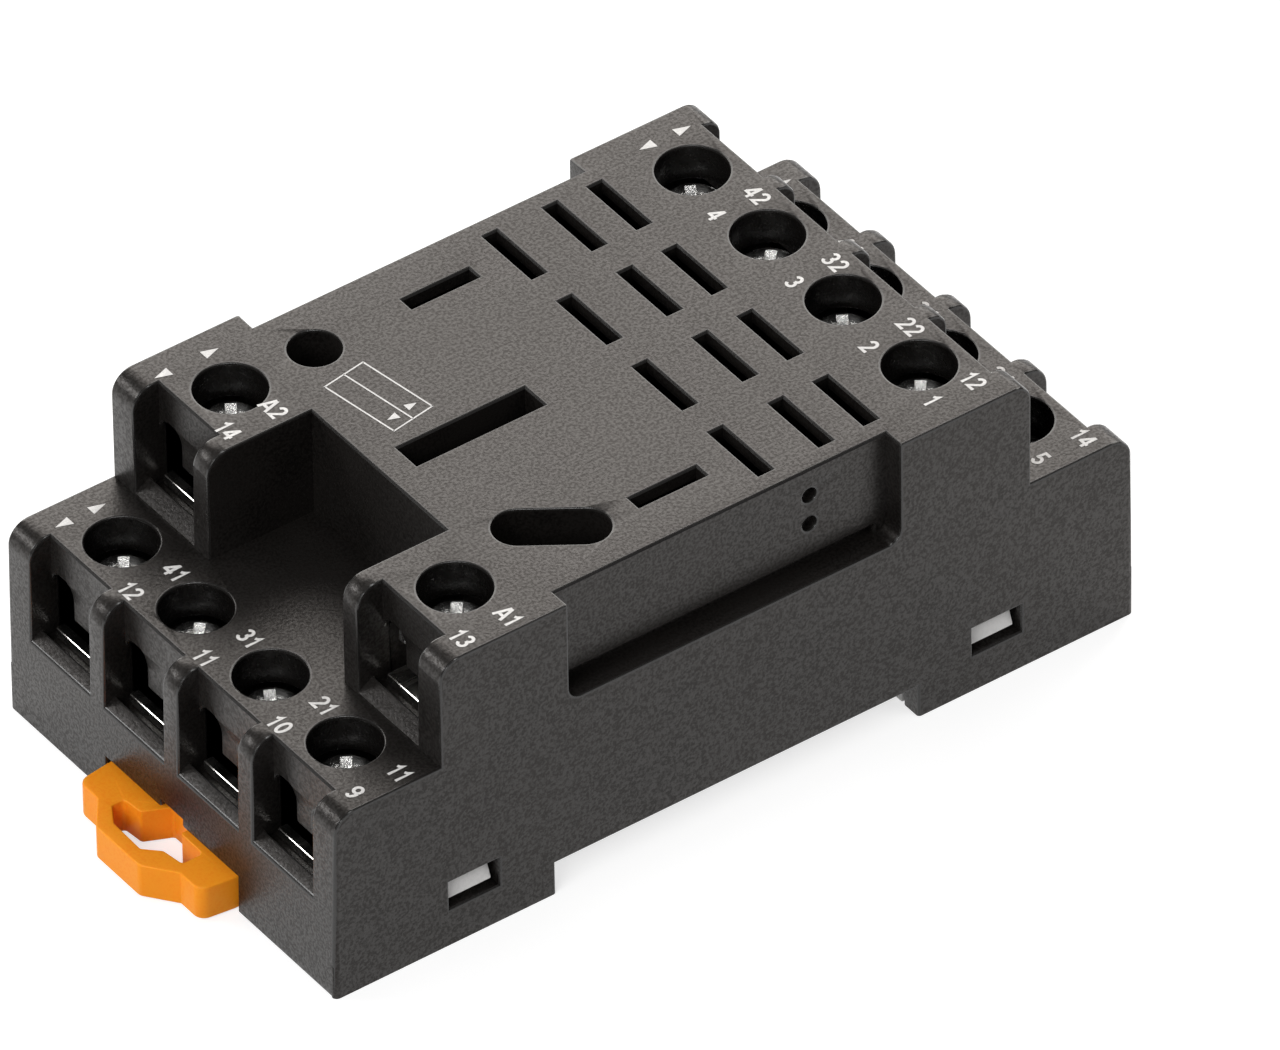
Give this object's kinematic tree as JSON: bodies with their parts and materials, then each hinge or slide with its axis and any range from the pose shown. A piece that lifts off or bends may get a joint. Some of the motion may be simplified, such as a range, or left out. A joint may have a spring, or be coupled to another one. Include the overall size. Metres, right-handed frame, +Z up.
{
  "type": "relay socket",
  "caption": "Black screw-terminal relay socket with four poles and coil terminals on two levels, a slotted plug face and an orange clip for a mounting rail.",
  "frame": {"origin": "middle of the rail channel, on the level of the underside", "axes": "+X along the socket from the clip end to the far end, +Y across it along the rail, +Z up out of the plug face"},
  "size_m": [0.0827, 0.044, 0.0287],
  "materials": {
    "housing_black": "fine grained, matt",
    "cover_grey": "satin",
    "clip_orange": "satin",
    "screw_nickel": "bright nickel plate",
    "clamp_zinc": "zinc plate",
    "busbar_tin": "tinned brass",
    "contact_tin": "tinned bronze"
  },
  "bodies": {
    "socket_body": {"housing": "housing_black", "bottom_cover": "cover_grey", "busbar_01": "busbar_tin", "busbar_02": "busbar_tin", "busbar_03": "busbar_tin", "busbar_04": "busbar_tin", "busbar_05": "busbar_tin", "busbar_06": "busbar_tin", "busbar_07": "busbar_tin", "busbar_08": "busbar_tin", "busbar_09": "busbar_tin", "busbar_10": "busbar_tin", "busbar_11": "busbar_tin", "busbar_12": "busbar_tin", "busbar_13": "busbar_tin", "busbar_14": "busbar_tin", "blade_contact_01": "contact_tin", "blade_contact_02": "contact_tin", "blade_contact_03": "contact_tin", "blade_contact_04": "contact_tin", "blade_contact_05": "contact_tin", "blade_contact_06": "contact_tin", "blade_contact_07": "contact_tin", "blade_contact_08": "contact_tin", "blade_contact_09": "contact_tin", "blade_contact_10": "contact_tin", "blade_contact_11": "contact_tin", "blade_contact_12": "contact_tin", "blade_contact_13": "contact_tin", "blade_contact_14": "contact_tin"},
    "clip_slide": {"rail_clip": "clip_orange"},
    "clamp_01": {"clamp_plate_01": "clamp_zinc"},
    "screw_01": {"terminal_screw_01": "screw_nickel"},
    "clamp_02": {"clamp_plate_02": "clamp_zinc"},
    "screw_02": {"terminal_screw_02": "screw_nickel"},
    "clamp_03": {"clamp_plate_03": "clamp_zinc"},
    "screw_03": {"terminal_screw_03": "screw_nickel"},
    "clamp_04": {"clamp_plate_04": "clamp_zinc"},
    "screw_04": {"terminal_screw_04": "screw_nickel"},
    "clamp_05": {"clamp_plate_05": "clamp_zinc"},
    "screw_05": {"terminal_screw_05": "screw_nickel"},
    "clamp_06": {"clamp_plate_06": "clamp_zinc"},
    "screw_06": {"terminal_screw_06": "screw_nickel"},
    "clamp_07": {"clamp_plate_07": "clamp_zinc"},
    "screw_07": {"terminal_screw_07": "screw_nickel"},
    "clamp_08": {"clamp_plate_08": "clamp_zinc"},
    "screw_08": {"terminal_screw_08": "screw_nickel"},
    "clamp_09": {"clamp_plate_09": "clamp_zinc"},
    "screw_09": {"terminal_screw_09": "screw_nickel"},
    "clamp_10": {"clamp_plate_10": "clamp_zinc"},
    "screw_10": {"terminal_screw_10": "screw_nickel"},
    "clamp_11": {"clamp_plate_11": "clamp_zinc"},
    "screw_11": {"terminal_screw_11": "screw_nickel"},
    "clamp_12": {"clamp_plate_12": "clamp_zinc"},
    "screw_12": {"terminal_screw_12": "screw_nickel"},
    "clamp_13": {"clamp_plate_13": "clamp_zinc"},
    "screw_13": {"terminal_screw_13": "screw_nickel"},
    "clamp_14": {"clamp_plate_14": "clamp_zinc"},
    "screw_14": {"terminal_screw_14": "screw_nickel"}
  },
  "joints": [
    {"name": "rail_clip_slide", "type": "slide", "parent": "socket_body", "child": "clip_slide", "axis": [-1, 0, 0], "range_m": [0, 0.0025], "stiffness_N_per_m": 4000},
    {"name": "clamp_01_travel", "type": "slide", "parent": "socket_body", "child": "clamp_01", "axis": [0, 0, -1], "range_m": [0, 0.0024]},
    {"name": "screw_01_turn", "type": "hinge", "parent": "clamp_01", "child": "screw_01", "pos_m": [0.023, -0.015, 0.01], "axis": [0, 0, -1], "range_deg": [0, 1440]},
    {"name": "clamp_02_travel", "type": "slide", "parent": "socket_body", "child": "clamp_02", "axis": [0, 0, -1], "range_m": [0, 0.0024]},
    {"name": "screw_02_turn", "type": "hinge", "parent": "clamp_02", "child": "screw_02", "pos_m": [0.023, -0.005, 0.01], "axis": [0, 0, -1], "range_deg": [0, 1440]},
    {"name": "clamp_03_travel", "type": "slide", "parent": "socket_body", "child": "clamp_03", "axis": [0, 0, -1], "range_m": [0, 0.0024]},
    {"name": "screw_03_turn", "type": "hinge", "parent": "clamp_03", "child": "screw_03", "pos_m": [0.023, 0.005, 0.01], "axis": [0, 0, -1], "range_deg": [0, 1440]},
    {"name": "clamp_04_travel", "type": "slide", "parent": "socket_body", "child": "clamp_04", "axis": [0, 0, -1], "range_m": [0, 0.0024]},
    {"name": "screw_04_turn", "type": "hinge", "parent": "clamp_04", "child": "screw_04", "pos_m": [0.023, 0.015, 0.01], "axis": [0, 0, -1], "range_deg": [0, 1440]},
    {"name": "clamp_05_travel", "type": "slide", "parent": "socket_body", "child": "clamp_05", "axis": [0, 0, -1], "range_m": [0, 0.0024]},
    {"name": "screw_05_turn", "type": "hinge", "parent": "clamp_05", "child": "screw_05", "pos_m": [0.0324, -0.015, 0.01], "axis": [0, 0, -1], "range_deg": [0, 1440]},
    {"name": "clamp_06_travel", "type": "slide", "parent": "socket_body", "child": "clamp_06", "axis": [0, 0, -1], "range_m": [0, 0.0024]},
    {"name": "screw_06_turn", "type": "hinge", "parent": "clamp_06", "child": "screw_06", "pos_m": [0.0324, -0.005, 0.01], "axis": [0, 0, -1], "range_deg": [0, 1440]},
    {"name": "clamp_07_travel", "type": "slide", "parent": "socket_body", "child": "clamp_07", "axis": [0, 0, -1], "range_m": [0, 0.0024]},
    {"name": "screw_07_turn", "type": "hinge", "parent": "clamp_07", "child": "screw_07", "pos_m": [0.0324, 0.005, 0.01], "axis": [0, 0, -1], "range_deg": [0, 1440]},
    {"name": "clamp_08_travel", "type": "slide", "parent": "socket_body", "child": "clamp_08", "axis": [0, 0, -1], "range_m": [0, 0.0024]},
    {"name": "screw_08_turn", "type": "hinge", "parent": "clamp_08", "child": "screw_08", "pos_m": [0.0324, 0.015, 0.01], "axis": [0, 0, -1], "range_deg": [0, 1440]},
    {"name": "clamp_09_travel", "type": "slide", "parent": "socket_body", "child": "clamp_09", "axis": [0, 0, -1], "range_m": [0, 0.0024]},
    {"name": "screw_09_turn", "type": "hinge", "parent": "clamp_09", "child": "screw_09", "pos_m": [-0.0324, -0.015, 0.01], "axis": [0, 0, -1], "range_deg": [0, 1440]},
    {"name": "clamp_10_travel", "type": "slide", "parent": "socket_body", "child": "clamp_10", "axis": [0, 0, -1], "range_m": [0, 0.0024]},
    {"name": "screw_10_turn", "type": "hinge", "parent": "clamp_10", "child": "screw_10", "pos_m": [-0.0324, -0.005, 0.01], "axis": [0, 0, -1], "range_deg": [0, 1440]},
    {"name": "clamp_11_travel", "type": "slide", "parent": "socket_body", "child": "clamp_11", "axis": [0, 0, -1], "range_m": [0, 0.0024]},
    {"name": "screw_11_turn", "type": "hinge", "parent": "clamp_11", "child": "screw_11", "pos_m": [-0.0324, 0.005, 0.01], "axis": [0, 0, -1], "range_deg": [0, 1440]},
    {"name": "clamp_12_travel", "type": "slide", "parent": "socket_body", "child": "clamp_12", "axis": [0, 0, -1], "range_m": [0, 0.0024]},
    {"name": "screw_12_turn", "type": "hinge", "parent": "clamp_12", "child": "screw_12", "pos_m": [-0.0324, 0.015, 0.01], "axis": [0, 0, -1], "range_deg": [0, 1440]},
    {"name": "clamp_13_travel", "type": "slide", "parent": "socket_body", "child": "clamp_13", "axis": [0, 0, -1], "range_m": [0, 0.0024]},
    {"name": "screw_13_turn", "type": "hinge", "parent": "clamp_13", "child": "screw_13", "pos_m": [-0.02175, -0.015, 0.01], "axis": [0, 0, -1], "range_deg": [0, 1440]},
    {"name": "clamp_14_travel", "type": "slide", "parent": "socket_body", "child": "clamp_14", "axis": [0, 0, -1], "range_m": [0, 0.0024]},
    {"name": "screw_14_turn", "type": "hinge", "parent": "clamp_14", "child": "screw_14", "pos_m": [-0.02175, 0.015, 0.01], "axis": [0, 0, -1], "range_deg": [0, 1440]}
  ],
  "couplings": [
    {"joint": "screw_01_turn", "follows": "clamp_01_travel", "rad_per_m": 10472},
    {"joint": "screw_02_turn", "follows": "clamp_02_travel", "rad_per_m": 10472},
    {"joint": "screw_03_turn", "follows": "clamp_03_travel", "rad_per_m": 10472},
    {"joint": "screw_04_turn", "follows": "clamp_04_travel", "rad_per_m": 10472},
    {"joint": "screw_05_turn", "follows": "clamp_05_travel", "rad_per_m": 10472},
    {"joint": "screw_06_turn", "follows": "clamp_06_travel", "rad_per_m": 10472},
    {"joint": "screw_07_turn", "follows": "clamp_07_travel", "rad_per_m": 10472},
    {"joint": "screw_08_turn", "follows": "clamp_08_travel", "rad_per_m": 10472},
    {"joint": "screw_09_turn", "follows": "clamp_09_travel", "rad_per_m": 10472},
    {"joint": "screw_10_turn", "follows": "clamp_10_travel", "rad_per_m": 10472},
    {"joint": "screw_11_turn", "follows": "clamp_11_travel", "rad_per_m": 10472},
    {"joint": "screw_12_turn", "follows": "clamp_12_travel", "rad_per_m": 10472},
    {"joint": "screw_13_turn", "follows": "clamp_13_travel", "rad_per_m": 10472},
    {"joint": "screw_14_turn", "follows": "clamp_14_travel", "rad_per_m": 10472}
  ]
}
